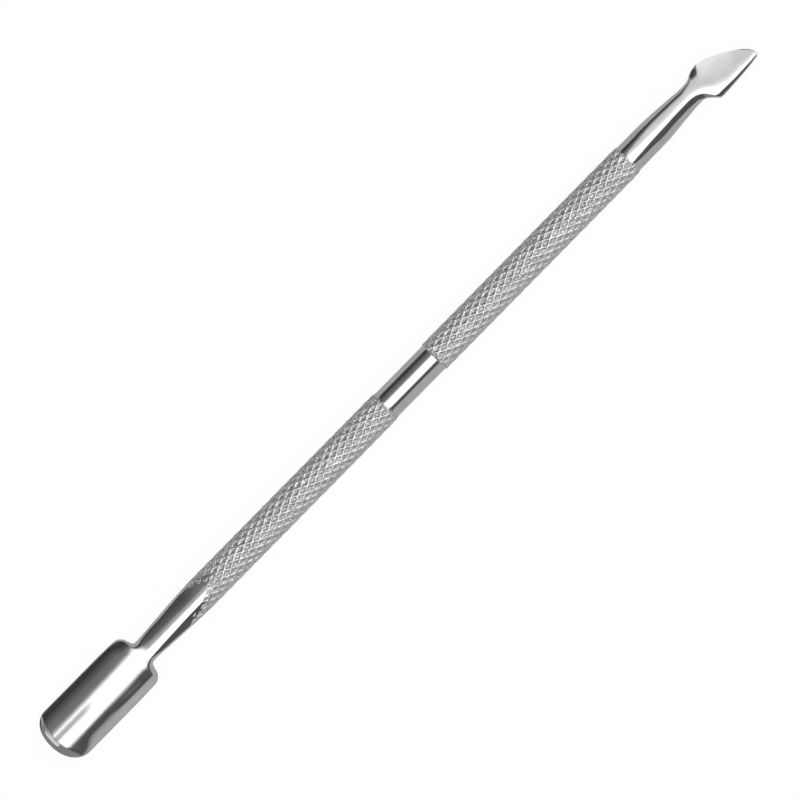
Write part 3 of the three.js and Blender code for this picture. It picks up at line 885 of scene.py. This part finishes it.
def studio_world():
    """Soft light from all round: a long bright strip overhead, darker strips beside it, and a small light
    over the scoop's tip."""
    world = bpy.data.worlds.new("studio")
    bpy.context.scene.world = world
    shader = Shader(world)
    direction = shader.add("ShaderNodeTexCoord").outputs["Generated"]
    axes = shader.add("ShaderNodeSeparateXYZ", {0: direction}).outputs
    angle = shader.math("ARCTAN2", axes["Y"], axes["Z"])
    ramp = shader.add("ShaderNodeValToRGB", {"Fac": shader.spread(angle, -math.pi, math.pi, 0, 1)})
    brightest = max(brightness for _, brightness in STUDIO_RING)
    stops = ramp.color_ramp.elements
    for _ in STUDIO_RING[2:]:
        stops.new(1)
    for stop, (degrees, brightness) in zip(stops, STUDIO_RING):
        stop.position = (degrees + 180) / 360
        stop.color = grey(brightness / brightest)

    def share_past(fade):
        return shader.spread(axes["X"], *fade, 0, 1)

    def share_near(value, middle, fade):
        away = shader.math("ABSOLUTE", shader.math("SUBTRACT", value, middle))
        return shader.spread(away, *fade, 0, 1)

    lit = shader.blend(share_past(STRIPS_END), ramp.outputs["Color"], grey(BEYOND_THE_ENDS / brightest))
    lit = shader.blend(share_past(STRIPS_END_BY_TIP), lit, grey(BEYOND_THE_TIP / brightest))
    along = share_near(axes["X"], SMALL_LIGHT_X, SMALL_LIGHT_LENGTH)
    round_it = share_near(angle, SMALL_LIGHT_TURN, SMALL_LIGHT_WIDTH)
    lit = shader.blend(shader.math("MULTIPLY", along, round_it), lit, grey(SMALL_LIGHT / brightest))
    room = shader.add("ShaderNodeBackground", {"Color": lit, "Strength": brightest})
    pale = shader.add("ShaderNodeBackground", {"Color": (1, 1, 1, 1), "Strength": BACKDROP_GLOW})
    seen = shader.add("ShaderNodeLightPath").outputs["Is Camera Ray"]
    mixed = shader.add("ShaderNodeMixShader", {0: seen, 1: room.outputs[0], 2: pale.outputs[0]})
    shader.add("ShaderNodeOutputWorld", {"Surface": mixed.outputs[0]})


def add_floor():
    """A plain pale floor under the tool. Seen directly it is nearly white, with a faint soft shadow."""
    material = bpy.data.materials.new("pale_floor")
    shader = Shader(material)
    plain = shader.add("ShaderNodeBsdfDiffuse", {"Color": (FLOOR_GREY, FLOOR_GREY, FLOOR_GREY, 1)})
    glow = shader.add("ShaderNodeEmission", {"Color": (1, 1, 1, 1), "Strength": FLOOR_GLOW})
    pale = shader.add("ShaderNodeMixShader", {0: FLOOR_GLOW_SHARE, 1: plain.outputs[0], 2: glow.outputs[0]})
    seen = shader.add("ShaderNodeLightPath").outputs["Is Camera Ray"]
    mixed = shader.add("ShaderNodeMixShader", {0: seen, 1: plain.outputs[0], 2: pale.outputs[0]})
    shader.add("ShaderNodeOutputMaterial", {"Surface": mixed.outputs[0]})

    half = FLOOR_HALF_SIZE
    low = cad_bounds[0].z
    mesh = bpy.data.meshes.new("floor")
    corners = [(-half, -half, low), (half, -half, low), (half, half, low), (-half, half, low)]
    mesh.from_pydata(corners, [], [(0, 1, 2, 3)])
    mesh.materials.append(material)
    plane = bpy.data.objects.new("floor", mesh)
    bpy.context.scene.collection.objects.link(plane)


# ---- Camera --------------------------------------------------------------------------------------

TOOL_ANGLE = math.radians(45.49)
VIEW_WIDTH = 101.1 * MM           # at the tool
LENS = 250                        # millimetres, long enough for a nearly flat view
AIM = Vector((-0.39, -0.75, 0)) * MM
CLIP = 0.01, 50                   # metres


def add_camera():
    """Straight down, with the tool running from the lower left to the upper right."""
    data = bpy.data.cameras.new("camera")
    data.lens = LENS
    data.clip_start, data.clip_end = CLIP
    camera = bpy.data.objects.new("camera", data)
    bpy.context.scene.collection.objects.link(camera)
    distance = VIEW_WIDTH / data.sensor_width * LENS
    target = Vector(((cad_bounds[0].x + cad_bounds[1].x) / 2, 0, 0)) + AIM
    turned = Matrix.Rotation(-TOOL_ANGLE, 4, "Z")
    camera.matrix_world = Matrix.Translation(target + Vector((0, 0, distance))) @ turned
    bpy.context.scene.camera = camera


build_tool()
studio_world()
add_floor()
add_camera()
bpy.context.scene.view_settings.view_transform = "Standard"
